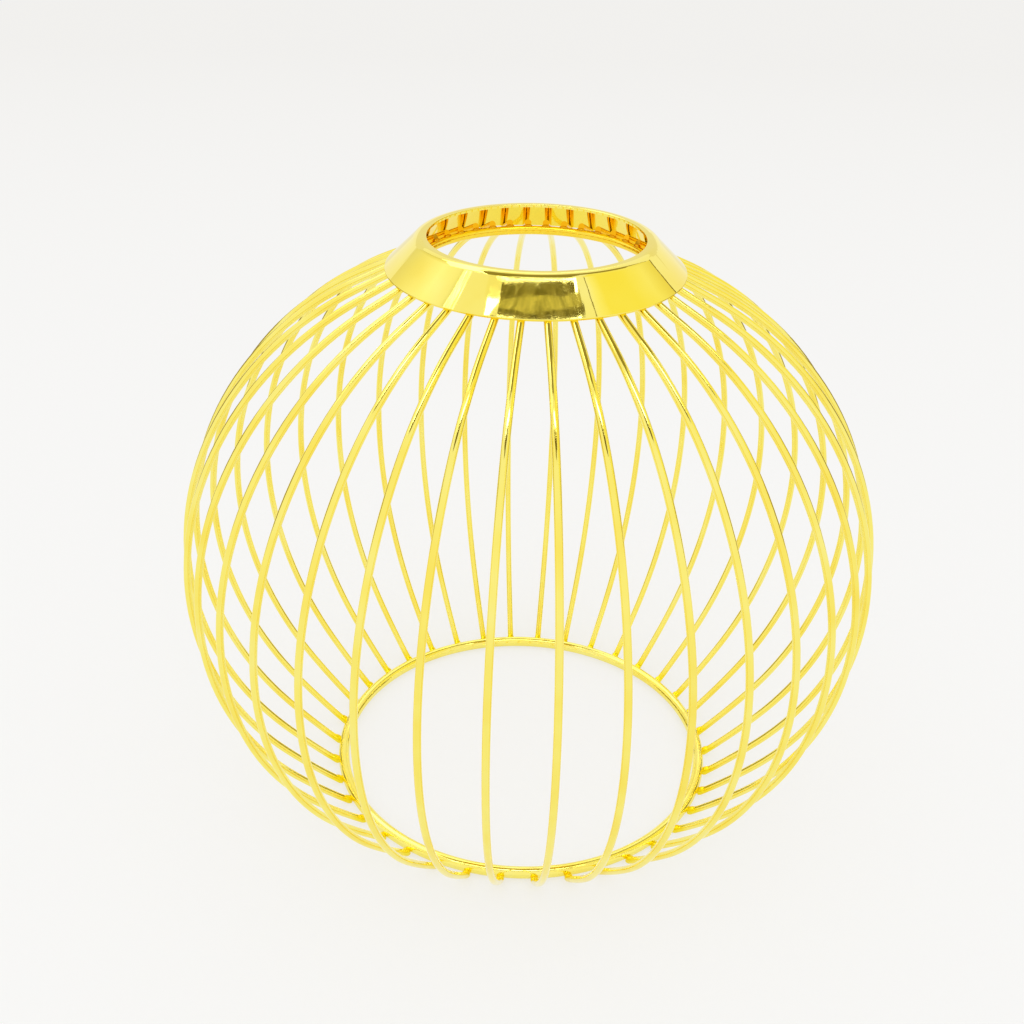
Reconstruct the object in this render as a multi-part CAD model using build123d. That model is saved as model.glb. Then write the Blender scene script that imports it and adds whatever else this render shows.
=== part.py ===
from build123d import *
import os
from math import acos, atan2, cos, degrees, radians, sin, sqrt

os.makedirs("parts", exist_ok=True)

# Driving sizes, in millimetres and degrees.
# The globe stands on its base ring: z = 0 is the ring's underside, and Z is the globe's own axis.
rib_count = 38
rib_wire = 2.0              # diameter of the ribs' wire
globe_radius = 100.0        # axis to the ribs' centre line at the equator
belly_offset = 8.5          # axis to the centre of the belly's bend
neck_angle = 64.5           # the belly's bend ends this far above the equator
foot_angle = 42.0           # and this far below it
foot_bend = 200.0           # radius of the gentler bend that runs down to the base ring

neck_ring_wire = 2.5
neck_ring_radius = 31.75    # axis to the wire's centre line
neck_overhang = 0.75        # a rib's cut end past the neck ring's centre line
base_ring_wire = 3.5
base_ring_radius = 58.25
foot_setback = 0.3          # a rib's cut end short of the base ring's centre line
weld_set = 0.3              # how far two wires sink into each other at a resistance weld

collar_sheet = 0.8
collar_hole_radius = 29.25
collar_rim_width = 2.6      # flat rim from the hole to the corner of the skirt
collar_rim_bend = 3.0       # outside radius of that corner
collar_skirt_radius = 40.6  # outside radius of the skirt's lower edge
collar_height = 8.6         # rim to the skirt's outer lower edge
collar_set = 0.3            # how far the skirt's edge is pressed into the ribs' crowns
collar_edge_round = 0.25

# The belly's bend: one arc through the equator, centred a little off the axis.
# All heights here are from the equator, and become heights above z = 0 with equator_height.
belly_radius = globe_radius - belly_offset


def on_belly(angle, radius=belly_radius):
    """Point of the belly's arc, or of a circle about the same centre, this far above the equator."""
    return Vector(belly_offset + radius * cos(radians(angle)), radius * sin(radians(angle)))


# The neck run: a straight tangent from the top of the belly to just past the neck ring,
# which lies against the run's inner side.
neck_start = on_belly(neck_angle)
neck_direction = Vector(-sin(radians(neck_angle)), cos(radians(neck_angle)))
neck_inward = Vector(-cos(radians(neck_angle)), -sin(radians(neck_angle)))
neck_seat = (rib_wire + neck_ring_wire) / 2 - weld_set
seat_run = (neck_start.X + neck_seat * neck_inward.X - neck_ring_radius) / -neck_direction.X
neck_ring_centre = neck_start + neck_direction * seat_run + neck_inward * neck_seat
neck_end = neck_start + neck_direction * (seat_run + neck_overhang)

# The foot: a wider tangent arc from the bottom of the belly to the base ring,
# which also lies inside the ribs. foot_swing is the arc's angle where it passes the ring.
foot_centre = on_belly(-foot_angle, belly_radius - foot_bend)
base_seat = (rib_wire + base_ring_wire) / 2 - weld_set
ring_reach = foot_bend - base_seat
foot_swing = degrees(acos((base_ring_radius - foot_centre.X) / ring_reach))
base_ring_centre = Vector(base_ring_radius, foot_centre.Y - ring_reach * sin(radians(foot_swing)))
foot_sweep = foot_swing - foot_angle - degrees(foot_setback / foot_bend)

equator_height = base_ring_wire / 2 - base_ring_centre.Y

# The collar's skirt: its slope, and the inner corner of its lower edge, which sits on the ribs.
skirt_run = collar_skirt_radius - collar_hole_radius - collar_rim_width
skirt_slope = atan2(collar_height, skirt_run)
seat_radius = collar_skirt_radius - collar_sheet * sin(skirt_slope)
crown = rib_wire / 2 - collar_set


def crown_height(radius):
    """Height above the equator where the skirt's edge sits on the ribs, at this radius."""
    if radius > neck_start.X + crown * cos(radians(neck_angle)):
        return sqrt((belly_radius + crown) ** 2 - (radius - belly_offset) ** 2)
    start = neck_start - neck_inward * crown
    return start.Y + (start.X - radius) * neck_direction.Y / -neck_direction.X


skirt_edge_height = crown_height(seat_radius) + collar_sheet * cos(skirt_slope)
rim_height = skirt_edge_height + collar_height


def meridian(shape):
    """Stand a shape drawn as (radius, height above the equator) in the XZ plane, above z = 0."""
    return Plane(origin=(0, 0, equator_height), x_dir=(1, 0, 0), z_dir=(0, -1, 0)) * shape


def make_ring(wire, centre):
    """A closed ring of round wire about the globe's axis."""
    section = meridian(Pos(centre.X, centre.Y) * Circle(wire / 2))
    return revolve(section, Axis.Z, 360)


def make_collar():
    """Spun sheet collar: a narrow flat rim round the hole and a conical skirt."""
    hole_edge = (collar_hole_radius, rim_height)
    corner = (collar_hole_radius + collar_rim_width, rim_height)
    skirt_edge = (collar_skirt_radius, skirt_edge_height)
    outside = FilletPolyline(hole_edge, corner, skirt_edge, radius=collar_rim_bend)
    section = make_face(offset(outside, collar_sheet, side=Side.RIGHT, closed=True))
    hole_top = section.vertices().sort_by(Axis.X)[:2].sort_by(Axis.Y)[-1]
    skirt_outer = section.vertices().sort_by(Axis.X)[-1]
    section = fillet([hole_top, skirt_outer], collar_edge_round)
    return revolve(meridian(section), Axis.Z, 360)


def make_rib(*seats):
    """One rib in the XZ plane, seated on the rings and under the collar, its foot cut flush at z = 0."""
    neck_run = Line(neck_end, neck_start)
    belly = CenterArc((belly_offset, 0), belly_radius, neck_angle, -neck_angle - foot_angle)
    foot = CenterArc(foot_centre, foot_bend, -foot_angle, -foot_sweep)
    path = meridian(Wire([neck_run, belly, foot]))
    wire = sweep((path ^ 0) * Circle(rib_wire / 2), path)
    below = Box(globe_radius * 2, rib_wire * 2, rib_wire, align=(Align.CENTER, Align.CENTER, Align.MAX))
    for seat in (below, *seats):
        wire -= seat
    return wire


neck_ring = make_ring(neck_ring_wire, neck_ring_centre)
base_ring = make_ring(base_ring_wire, base_ring_centre)
collar = make_collar()
rib = make_rib(neck_ring, base_ring, collar)

export_step(neck_ring, "parts/neck_ring.step")
export_step(base_ring, "parts/base_ring.step")
export_step(collar, "parts/collar.step")

# The ribs stand at equal angles, with the front of the globe midway between two of them.
rib_pitch = 360 / rib_count
front = -90
for number in range(rib_count):
    turned = Rot(Z=front + rib_pitch * (number + 0.5)) * rib
    export_step(turned, f"parts/rib_{number + 1:02d}.step")
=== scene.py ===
import math

import bmesh
import bpy
from mathutils import Matrix, Quaternion, Vector


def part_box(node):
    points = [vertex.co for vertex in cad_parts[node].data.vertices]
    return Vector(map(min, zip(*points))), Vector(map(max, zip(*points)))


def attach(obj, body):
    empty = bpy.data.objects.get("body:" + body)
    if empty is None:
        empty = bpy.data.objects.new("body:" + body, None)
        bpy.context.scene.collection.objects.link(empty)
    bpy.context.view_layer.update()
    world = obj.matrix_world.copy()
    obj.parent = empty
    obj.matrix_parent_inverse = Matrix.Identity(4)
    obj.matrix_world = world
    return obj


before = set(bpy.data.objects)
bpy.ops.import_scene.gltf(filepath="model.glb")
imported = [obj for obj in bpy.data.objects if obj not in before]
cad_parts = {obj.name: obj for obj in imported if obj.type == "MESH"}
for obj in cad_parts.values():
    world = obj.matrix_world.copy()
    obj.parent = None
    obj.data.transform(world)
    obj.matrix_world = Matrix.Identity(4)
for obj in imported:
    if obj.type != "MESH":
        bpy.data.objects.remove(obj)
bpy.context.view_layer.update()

scene = bpy.context.scene
MM = 0.001

# What the weld beads follow: the number of ribs and their angles in degrees, and the rings' centre lines
RIB_COUNT = sum(name.startswith("rib_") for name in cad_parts)
FRONT = -90.0


def ring_line(node):
    """Radius and height of a ring's centre line, in millimetres."""
    low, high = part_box(node)
    wire = high.z - low.z
    return (high.x - wire / 2) / MM, (low.z + high.z) / 2 / MM


def rib_angle(number):
    return math.radians(FRONT + 360.0 / RIB_COUNT * (number + 0.5))


# Materials

def link(tree, a, a_socket, b, b_socket):
    tree.links.new(a.outputs[a_socket], b.inputs[b_socket])


def noise(tree, source, socket, scale, detail=3.0, rough=0.5):
    node = tree.nodes.new("ShaderNodeTexNoise")
    node.inputs["Scale"].default_value = scale
    node.inputs["Detail"].default_value = detail
    node.inputs["Roughness"].default_value = rough
    link(tree, source, socket, node, "Vector")
    return node


def ramp(tree, source, socket, stops):
    node = tree.nodes.new("ShaderNodeValToRGB")
    elements = node.color_ramp.elements
    while len(elements) < len(stops):
        elements.new(0.5)
    for element, (place, colour) in zip(elements, stops):
        element.position = place
        element.color = (*colour, 1.0)
    link(tree, source, socket, node, "Fac")
    return node


def remap(tree, source, socket, low, high, from_low=0.3, from_high=0.7):
    node = tree.nodes.new("ShaderNodeMapRange")
    node.inputs["From Min"].default_value = from_low
    node.inputs["From Max"].default_value = from_high
    node.inputs["To Min"].default_value = low
    node.inputs["To Max"].default_value = high
    link(tree, source, socket, node, "Value")
    return node


def split(tree, source, socket):
    """The X, Y and Z parts of a vector."""
    parts = tree.nodes.new("ShaderNodeSeparateXYZ")
    link(tree, source, socket, parts, "Vector")
    return parts


def blank(name):
    """A material with nothing in it but its output."""
    material = bpy.data.materials.new(name)
    material.use_nodes = True
    tree = material.node_tree
    tree.nodes.clear()
    return material, tree, tree.nodes.new("ShaderNodeOutputMaterial")


# Where each painted shade on the plate starts to fade and is gone: distances from the globe's axis in metres,
# a height in metres, and how far up a surface faces
COLLAR_REACH = (0.0360, 0.0395)
CUT_END_REACH = (0.0322, 0.0330)
FOOT_TOP = (0.0026, 0.0052)
UNDERSIDE_TURN = (-0.25, 0.05)


def within(tree, coords, near, far):
    """1 up to one distance from the globe's axis, 0 from another."""
    parts = split(tree, coords, "Object")
    level = tree.nodes.new("ShaderNodeCombineXYZ")
    link(tree, parts, "X", level, "X")
    link(tree, parts, "Y", level, "Y")
    radius = tree.nodes.new("ShaderNodeVectorMath")
    radius.operation = "LENGTH"
    link(tree, level, "Vector", radius, "Vector")
    return remap(tree, radius, "Value", 1.0, 0.0, near, far)


def inside_collar(tree, coords):
    """1 on wire inside the collar, 0 outside it."""
    return within(tree, coords, *COLLAR_REACH)


def cut_end(tree, coords):
    """1 on a rib's cut end over the neck ring, 0 farther out."""
    return within(tree, coords, *CUT_END_REACH)


def foot(tree, coords):
    """1 on a rib's foot beside the base ring, 0 higher up."""
    return remap(tree, split(tree, coords, "Object"), "Z", 1.0, 0.0, *FOOT_TOP)


def underside(tree, _coords):
    """1 on the side of the collar that faces down and in, 0 on its outside."""
    geometry = tree.nodes.new("ShaderNodeNewGeometry")
    return remap(tree, split(tree, geometry, "Normal"), "Z", 1.0, 0.0, *UNDERSIDE_TURN)


TONE_PLACES = (0.30, 0.52, 0.75)
HAZE_RATIO = 2.3

# A colour mix node's sockets. It has others of the same names, so they go by number.
MIX_FACTOR = 0
MIX_FIRST = 6
MIX_SECOND = 7
MIX_RESULT = 2


def gold(name, tones, gloss_range, patch_scale, waves, grain, painted_shades=()):
    """Polished gold plate: patchy depth of colour, haze in the gloss, broad waves and a fine grain.

    waves and grain are each a scale and a height. The last argument holds pairs of a place and the colour
    that the plate is
    multiplied by there: painted shade, darker and deeper in hue where shade falls on that place.
    """
    material, tree, out = blank(name)
    shader = tree.nodes.new("ShaderNodeBsdfPrincipled")
    shader.inputs["Metallic"].default_value = 1.0
    link(tree, shader, "BSDF", out, "Surface")
    coords = tree.nodes.new("ShaderNodeTexCoord")

    patches = noise(tree, coords, "Object", patch_scale)
    colour = ramp(tree, patches, "Fac", list(zip(TONE_PLACES, tones))).outputs["Color"]
    # Painted shade: each place's colour is multiplied into the plate
    for place, shade_colour in painted_shades:
        blend = tree.nodes.new("ShaderNodeMix")
        blend.data_type = "RGBA"
        blend.blend_type = "MULTIPLY"
        tree.links.new(place(tree, coords).outputs["Result"], blend.inputs[MIX_FACTOR])
        tree.links.new(colour, blend.inputs[MIX_FIRST])
        blend.inputs[MIX_SECOND].default_value = (*shade_colour, 1.0)
        colour = blend.outputs[MIX_RESULT]
    tree.links.new(colour, shader.inputs["Base Color"])

    haze = noise(tree, coords, "Object", patch_scale * HAZE_RATIO, detail=5.0)
    gloss = remap(tree, haze, "Fac", *gloss_range)
    link(tree, gloss, "Result", shader, "Roughness")

    normal = None
    for (scale, height), detail in ((waves, 1.0), (grain, 4.0)):
        relief = noise(tree, coords, "Object", scale, detail, rough=0.6)
        bump = tree.nodes.new("ShaderNodeBump")
        bump.inputs["Strength"].default_value = 1.0
        bump.inputs["Distance"].default_value = height
        link(tree, relief, "Fac", bump, "Height")
        if normal:
            link(tree, normal, "Normal", bump, "Normal")
        normal = bump
    link(tree, normal, "Normal", shader, "Normal")
    return material


WIRE_TONES = ((0.99, 0.81, 0.13), (1.0, 0.87, 0.19), (1.0, 0.90, 0.27))
SHEET_TONES = ((0.98, 0.79, 0.12), (0.99, 0.85, 0.18), (1.0, 0.88, 0.25))
# The weld beads' deep tones are painted shade: dark orange under the collar at the neck, deep yellow in the
# seam at the base ring
NECK_WELD_SHADE_TONES = ((0.74, 0.32, 0.010), (0.85, 0.44, 0.015), (0.94, 0.60, 0.05))
BASE_WELD_SHADE_TONES = ((1.0, 0.74, 0.008), (1.0, 0.81, 0.016), (1.0, 0.86, 0.04))
# Painted shade: the rib feet deep yellow where they turn in under the base ring
FOOT_PAINTED_SHADE = (1.0, 0.94, 0.16)
# Painted shade of the collar: deeper orange on the neck ring, the rib ends and most of all their cut ends,
# inside it
NECK_PAINTED_SHADE = (1.0, 0.84, 0.30)
RIB_END_PAINTED_SHADE = (1.0, 0.66, 0.06)
CUT_END_PAINTED_SHADE = (0.95, 0.82, 0.70)
# Painted shade: the collar's down-facing inside deeper gold than its outside
UNDERSIDE_PAINTED_SHADE = (1.0, 0.92, 0.26)

wire_finish = dict(gloss_range=(0.04, 0.08), patch_scale=60.0,
                   waves=(120.0, 0.0000015), grain=(900.0, 0.0000004))
weld_finish = dict(gloss_range=(0.24, 0.38), patch_scale=300.0,
                   waves=(300.0, 0.000002), grain=(1500.0, 0.0000005))
sheet_finish = dict(gloss_range=(0.012, 0.035), patch_scale=45.0,
                    waves=(110.0, 0.000028), grain=(1400.0, 0.0000009))
rib_painted_shades = [(inside_collar, RIB_END_PAINTED_SHADE), (cut_end, CUT_END_PAINTED_SHADE), (foot, FOOT_PAINTED_SHADE)]

ring_gold = gold("gold_ring", WIRE_TONES, painted_shades=[(inside_collar, NECK_PAINTED_SHADE)], **wire_finish)
rib_gold = gold("gold_rib", WIRE_TONES, painted_shades=rib_painted_shades, **wire_finish)
sheet_gold = gold("gold_sheet", SHEET_TONES, painted_shades=[(underside, UNDERSIDE_PAINTED_SHADE)], **sheet_finish)
neck_weld_gold = gold("gold_neck_weld", NECK_WELD_SHADE_TONES, **weld_finish)
base_weld_gold = gold("gold_base_weld", BASE_WELD_SHADE_TONES, **weld_finish)

FINISHES = {"collar": sheet_gold, "neck_ring": ring_gold, "base_ring": ring_gold}
for name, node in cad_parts.items():
    finish = FINISHES.get(name, rib_gold)
    if not node.material_slots:
        node.data.materials.append(finish)
    for held in node.material_slots:
        held.material = finish


# Weld beads

def add_bead(mesh, radius, height, rise, turn, half):
    """One smooth lump at this radius and height, tilted up outwards by rise, and turned about the axis."""
    lump = bmesh.ops.create_icosphere(mesh, subdivisions=3, radius=1.0)["verts"]
    place = (Matrix.Rotation(turn, 4, "Z")
             @ Matrix.Translation(Vector((radius, 0.0, height)) * MM)
             @ Matrix.Rotation(-rise, 4, "Y")
             @ Matrix.Diagonal((*(Vector(half) * MM), 1.0)))
    bmesh.ops.transform(mesh, matrix=place, verts=lump)


def make_beads(name, ring, offset, rise, half, finish):
    """A bead at the seam between each rib's wire and the ring.

    offset is outwards and up from the ring's centre line, and half holds half the bead's sizes, both in
    millimetres. rise is in degrees.
    """
    mesh = bmesh.new()
    radius, height = ring_line(ring)
    outward, upward = offset
    for number in range(RIB_COUNT):
        add_bead(mesh, radius + outward, height + upward, math.radians(rise), rib_angle(number), half)
    data = bpy.data.meshes.new(name)
    mesh.to_mesh(data)
    mesh.free()
    for face in data.polygons:
        face.use_smooth = True
    piece = bpy.data.objects.new(name, data)
    scene.collection.objects.link(piece)
    data.materials.append(finish)
    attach(piece, "root")


# A neck bead lies along the ring, and a base bead along the rib's foot
make_beads("neck_welds", "neck_ring", offset=(-0.19, 1.26), rise=0.0,
           half=(0.50, 1.25, 0.50), finish=neck_weld_gold)
make_beads("base_welds", "base_ring", offset=(2.60, -0.25), rise=32.0,
           half=(1.90, 1.20, 0.90), finish=base_weld_gold)


# Studio

def emit(tree, strength=1.0):
    shader = tree.nodes.new("ShaderNodeEmission")
    shader.inputs["Strength"].default_value = strength
    return shader


def seen_share(tree, share):
    """The given share for camera, glossy and transmission rays, and nothing for the rest."""
    rays = tree.nodes.new("ShaderNodeLightPath")
    total = rays.outputs["Is Camera Ray"]
    for kind in ("Is Glossy Ray", "Is Transmission Ray"):
        add = tree.nodes.new("ShaderNodeMath")
        add.operation = "ADD"
        add.use_clamp = True
        tree.links.new(total, add.inputs[0])
        tree.links.new(rays.outputs[kind], add.inputs[1])
        total = add.outputs[0]
    scaled = tree.nodes.new("ShaderNodeMath")
    scaled.operation = "MULTIPLY"
    scaled.inputs[1].default_value = share
    tree.links.new(total, scaled.inputs[0])
    return scaled.outputs[0]


def shine(tree, tone, out, strength=1.0):
    """Light of the tone that a ramp gives."""
    shader = emit(tree, strength)
    link(tree, tone, "Color", shader, "Color")
    link(tree, shader, "Emission", out, "Surface")


def graded(name, stops, strength=1.0):
    """Light that changes across a card, from its first column to its last."""
    material, tree, out = blank(name)
    coords = tree.nodes.new("ShaderNodeTexCoord")
    shine(tree, ramp(tree, split(tree, coords, "UV"), "X", stops), out, strength)
    return material


def flat(name, colour, strength=1.0):
    return graded(name, [(0.0, colour), (1.0, colour)], strength)


BAND_STRETCH = 7.0
SPECK_PLACES = (0.36, 0.60, 0.72)


def mottled(name, dark, light, speck, scale):
    """Patchy light, drawn out along X as the cone's mirror squeezes it."""
    material, tree, out = blank(name)
    coords = tree.nodes.new("ShaderNodeTexCoord")
    stretch = tree.nodes.new("ShaderNodeMapping")
    stretch.inputs["Scale"].default_value = (1.0, BAND_STRETCH, BAND_STRETCH)
    link(tree, coords, "Object", stretch, "Vector")
    patches = noise(tree, stretch, "Vector", scale, detail=7.0, rough=0.76)
    shine(tree, ramp(tree, patches, "Fac", list(zip(SPECK_PLACES, (dark, light, speck)))), out)
    return material


def make_card(name, columns, material):
    """A sheet between columns of points. Its first map coordinate runs from the first column to the last."""
    rows = len(columns[0])
    points = [tuple(point) for column in columns for point in column]
    faces = []
    for i in range(len(columns) - 1):
        for j in range(rows - 1):
            corner = i * rows + j
            faces.append((corner, corner + rows, corner + rows + 1, corner + 1))
    data = bpy.data.meshes.new(name)
    data.from_pydata(points, [], faces)
    chart = data.uv_layers.new(name="across")
    for loop in data.loops:
        column, row = divmod(loop.vertex_index, rows)
        chart.data[loop.index].uv = (column / (len(columns) - 1), row / (rows - 1))
    card = bpy.data.objects.new(name, data)
    scene.collection.objects.link(card)
    data.materials.append(material)
    return card


def mirrored(name, columns, material):
    """A card that only reflections show."""
    card = make_card(name, columns, material)
    card.visible_camera = False
    card.visible_diffuse = False
    card.visible_shadow = False
    card.visible_transmission = False


def between(low, high, steps):
    return [low + (high - low) * i / steps for i in range(steps + 1)]


# The floor's tone changes with depth: painted shade greys it behind the object, where the light falls off,
# and far back it turns to the walls' white. The stops are shares of the depth between the two places, in
# metres.
FLOOR_HALF = 6.0
FLOOR_LEVEL = -0.00003
FLOOR_GLOW = 0.65
FLOOR_NEAR = (0.950, 0.947, 0.938)
FLOOR_FAR_SHADE = (0.885, 0.875, 0.855)
WALL_WHITE = (0.97, 0.965, 0.95)
FLOOR_DEPTH = (-0.1, 4.9)
FLOOR_STOPS = [(0.0, FLOOR_NEAR), (0.28, FLOOR_FAR_SHADE), (0.46, FLOOR_FAR_SHADE), (1.0, WALL_WHITE)]


def floor_finish():
    """White, with painted shade greying it a little behind the object, and as the walls far behind. Its glow
    keeps shadows faint.
    """
    material, tree, out = blank("floor_white")
    coords = tree.nodes.new("ShaderNodeTexCoord")
    depth = remap(tree, split(tree, coords, "Object"), "Y", 0.0, 1.0, *FLOOR_DEPTH)
    tone = ramp(tree, depth, "Result", FLOOR_STOPS)
    matt = tree.nodes.new("ShaderNodeBsdfDiffuse")
    glow = emit(tree)
    link(tree, tone, "Color", matt, "Color")
    link(tree, tone, "Color", glow, "Color")
    mix = tree.nodes.new("ShaderNodeMixShader")
    tree.links.new(seen_share(tree, FLOOR_GLOW), mix.inputs[0])
    tree.links.new(matt.outputs[0], mix.inputs[1])
    tree.links.new(glow.outputs[0], mix.inputs[2])
    tree.links.new(mix.outputs[0], out.inputs["Surface"])
    return material


make_card("floor", [[(x, -FLOOR_HALF, FLOOR_LEVEL), (x, FLOOR_HALF, FLOOR_LEVEL)]
                    for x in (-FLOOR_HALF, FLOOR_HALF)], floor_finish())

# Cards on a dome round the neck, in degrees: azimuths, where 0 is the front and 90 the right, then elevations
NECK_PLACE = Vector((0.0, 0.0, 0.17))
DOME_RADIUS = 1.2
DOME_STEPS = 16


def toward(azimuth, elevation):
    """Direction from the neck."""
    turn, rise = math.radians(azimuth), math.radians(elevation)
    return Vector((math.sin(turn) * math.cos(rise), -math.cos(turn) * math.cos(rise), math.sin(rise)))


def dome_patch(name, azimuths, elevations, material, distance=DOME_RADIUS):
    columns = [[NECK_PLACE + distance * toward(azimuth, elevation)
                for elevation in between(*elevations, DOME_STEPS)]
               for azimuth in between(*azimuths, DOME_STEPS)]
    mirrored(name, columns, material)


# Two softboxes at the sides, in thin dark frames, over dim strips of wall
FRAME_WIDTH = 0.8
LEFT_BOX = ((-141.5, -86.0), (14.0, 62.0))
RIGHT_BOX = ((70.0, 130.5), (17.0, 66.0))
LEFT_STOPS = [
    (0.0, (0.60, 0.57, 0.38)),
    (0.25, (0.70, 0.68, 0.54)),
    (0.6, (0.82, 0.83, 0.90)),
    (0.85, (0.73, 0.73, 0.68)),
    (0.93, (0.58, 0.56, 0.46)),
    (1.0, (0.75, 0.75, 0.75)),
]
RIGHT_STOPS = [
    (0.0, (1.0, 1.0, 0.95)),
    (0.08, (1.0, 0.97, 0.60)),
    (0.2, (0.97, 0.89, 0.28)),
    (0.55, (0.97, 0.90, 0.32)),
    (0.8, (0.98, 0.93, 0.50)),
    (1.0, (0.86, 0.78, 0.34)),
]
FRAME_COLOUR = flat("frame_colour", (0.22, 0.17, 0.06))
DIM_WALL = flat("dim_wall", (0.34, 0.28, 0.12))
dome_patch("left_box", *LEFT_BOX, graded("left_light", LEFT_STOPS, strength=1.35))
dome_patch("right_box", *RIGHT_BOX, graded("right_light", RIGHT_STOPS))
dome_patch("left_box_edge", (LEFT_BOX[0][0] - FRAME_WIDTH, LEFT_BOX[0][0]), LEFT_BOX[1], FRAME_COLOUR)
dome_patch("right_box_edge", (RIGHT_BOX[0][1], RIGHT_BOX[0][1] + FRAME_WIDTH), RIGHT_BOX[1], FRAME_COLOUR)
dome_patch("right_front_edge", (RIGHT_BOX[0][0] - FRAME_WIDTH, RIGHT_BOX[0][0]), RIGHT_BOX[1], FRAME_COLOUR)

# The strips end short of what the collar's own ends mirror
LOW_DISTANCE = 0.65
dome_patch("left_dim_strip", (-138.0, -95.0), (-1.0, 13.0), DIM_WALL)
dome_patch("right_dim_strip", (95.0, 134.0), (-1.0, 13.0), DIM_WALL)
dome_patch("left_low_strip", (-149.0, -100.0), (-14.0, -2.0), DIM_WALL, distance=LOW_DISTANCE)
dome_patch("right_low_strip", (100.0, 149.0), (-14.0, -2.0), DIM_WALL, distance=LOW_DISTANCE)
dome_patch("back_wall", (140.0, 220.0), (13.0, 26.0), flat("back_wall_light", (0.86, 0.83, 0.72)))

# A broken white streak in front of the left softbox's front edge
STREAK_DISTANCE = DOME_RADIUS * 0.97
STREAK_DIM = (0.72, 0.68, 0.50)
STREAK_PALE = (2.8, 2.8, 2.8)
GLARE = (6.0, 6.0, 6.0)
STREAK_LIGHT = mottled("streak_light", STREAK_DIM, STREAK_PALE, GLARE, 7.0)
dome_patch("left_streak", (-91.5, -84.5), (44.0, 62.0), STREAK_LIGHT, distance=STREAK_DISTANCE)

# A bright panel overhead on the left, a dim gap beside it, and a strip lamp in front.
# Their corners are X and Y from the neck, as shares of the height over it.
PANEL_HEIGHT = 0.85
GAP_HEIGHT = 0.84
LAMP_HEIGHT = 1.26
PANEL = ((-0.30, -0.10), (-0.30, 0.70), (0.40, 1.50), (-1.30, 0.60))
GAP = ((-0.40, -0.10), (0.32, -0.10), (0.34, 0.26), (-0.40, 0.36))
GAP_TURN = ((0.30, 0.16), (1.50, 0.98), (1.42, 1.14), (-0.20, 0.34))
LAMP = ((-0.47, -0.305), (0.44, -0.305), (0.44, -0.195), (-0.47, -0.195))


def overhead(name, corners, height, material):
    """A level card over the neck. The corners go round it."""
    a, b, c, d = (NECK_PLACE + Vector((x, y, 1.0)) * height for x, y in corners)
    mirrored(name, [[a, d], [b, c]], material)


overhead("top_panel", PANEL, PANEL_HEIGHT, flat("panel_light", (1.0, 1.0, 0.98), 2.4))
overhead("top_gap", GAP, GAP_HEIGHT, flat("gap_dark", (0.31, 0.26, 0.11)))
overhead("top_gap_turn", GAP_TURN, GAP_HEIGHT, DIM_WALL)
overhead("top_lamp", LAMP, LAMP_HEIGHT, flat("lamp_light", (1.0, 1.0, 1.0), 7.0))

# What the collar's front mirrors, high in front: a dim band between bright edges
BAND_ELEVATION = 69.3
BAND_BEND = 0.51
BAND_STEPS = 24


def band(name, xs, ws, material):
    """A card from side to side, bent so that it follows the cone's mirror line. ws are heights across it."""
    middle = NECK_PLACE + toward(0.0, BAND_ELEVATION)
    upward = toward(180.0, 90.0 - BAND_ELEVATION)
    columns = [[middle + Vector((x, 0.0, 0.0)) + upward * (w + BAND_BEND * x * x) for w in ws]
               for x in between(*xs, BAND_STEPS)]
    mirrored(name, columns, material)


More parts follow.
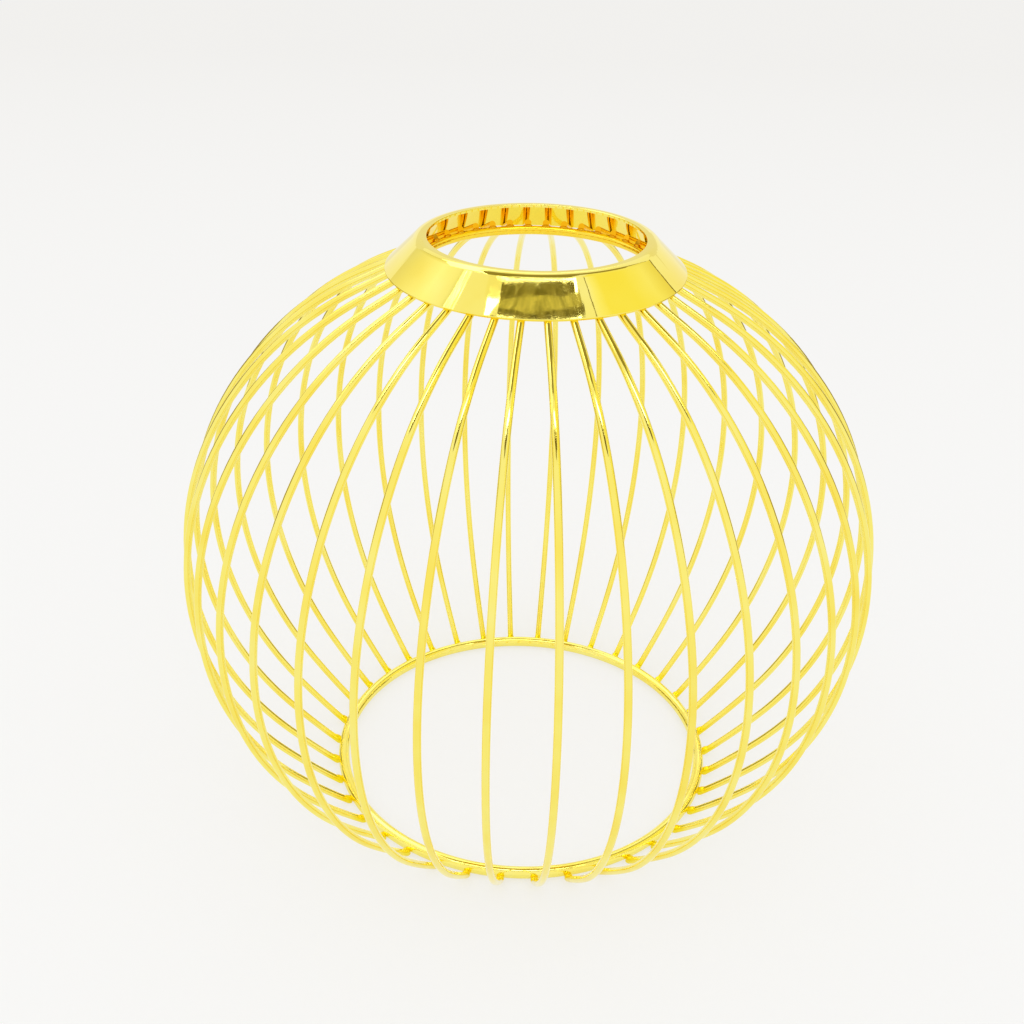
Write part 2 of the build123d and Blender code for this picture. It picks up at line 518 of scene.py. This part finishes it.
DARK_OLIVE = mottled("dark_olive", (0.10, 0.085, 0.03), (0.30, 0.26, 0.12), (0.9, 0.85, 0.6), 11.0)
MID_OLIVE = mottled("mid_olive", (0.30, 0.27, 0.11), (0.74, 0.66, 0.30), (1.2, 1.15, 0.9), 8.0)
BRIGHT = flat("bright_edge", (1.0, 1.0, 1.0), 5.0)
BROWN = flat("brown", (0.15, 0.11, 0.02))
band("band_foot", (-0.33, 0.47), (-0.022, -0.012), DARK_OLIVE)
band("band_middle", (-0.33, 0.45), (-0.012, 0.002), MID_OLIVE)
band("band_top", (-0.34, 0.40), (0.002, 0.0172), DARK_OLIVE)
band("edge_top", (-0.42, 0.36), (0.0178, 0.0200), BRIGHT)
band("edge_foot", (-0.33, 0.42), (-0.0255, -0.0235), BRIGHT)
band("blank_left", (-0.50, -0.34), (0.003, 0.030), flat("blank_light", (0.95, 0.93, 0.80)))

# The dark band goes on above and below what the collar shows, and the front ribs mirror all of it
band("band_rise", (-0.36, 0.40), (0.0203, 0.038), BROWN)
band("band_fall", (-0.42, 0.46), (-0.120, -0.026), BROWN)
band("band_tip", (-0.22, 0.26), (-0.160, -0.120), BROWN)


def make_world():
    """Even white light. The camera and reflections see white walls."""
    world = bpy.data.worlds.new("studio_walls")
    scene.world = world
    world.use_nodes = True
    tree = world.node_tree
    tree.nodes.clear()
    out = tree.nodes.new("ShaderNodeOutputWorld")
    walls = tree.nodes.new("ShaderNodeBackground")
    walls.inputs["Color"].default_value = (*WALL_WHITE, 1.0)
    fill = tree.nodes.new("ShaderNodeBackground")
    fill.inputs["Color"].default_value = (1.0, 1.0, 1.0, 1.0)
    mix = tree.nodes.new("ShaderNodeMixShader")
    tree.links.new(seen_share(tree, 1.0), mix.inputs[0])
    tree.links.new(fill.outputs[0], mix.inputs[1])
    tree.links.new(walls.outputs[0], mix.inputs[2])
    tree.links.new(mix.outputs[0], out.inputs["Surface"])


make_world()

# Camera: place, the point on its axis nearest the globe's middle, and its tilt about that axis
CAMERA_PLACE = Vector((-0.000451, -0.328037, 0.273353))
CAMERA_AIM = Vector((-0.004912, 0.005019, 0.086633))
CAMERA_ROLL = math.radians(1.355)

camera_data = bpy.data.cameras.new("camera")
camera_data.sensor_width = 36.0
camera_data.lens = 44.385
camera_data.clip_start = 0.01
camera = bpy.data.objects.new("camera", camera_data)
camera.location = CAMERA_PLACE
level = (CAMERA_AIM - CAMERA_PLACE).to_track_quat("-Z", "Y")
camera.rotation_euler = (level @ Quaternion((0.0, 0.0, 1.0), CAMERA_ROLL)).to_euler()
scene.collection.objects.link(camera)
scene.camera = camera

scene.view_settings.view_transform = "Standard"
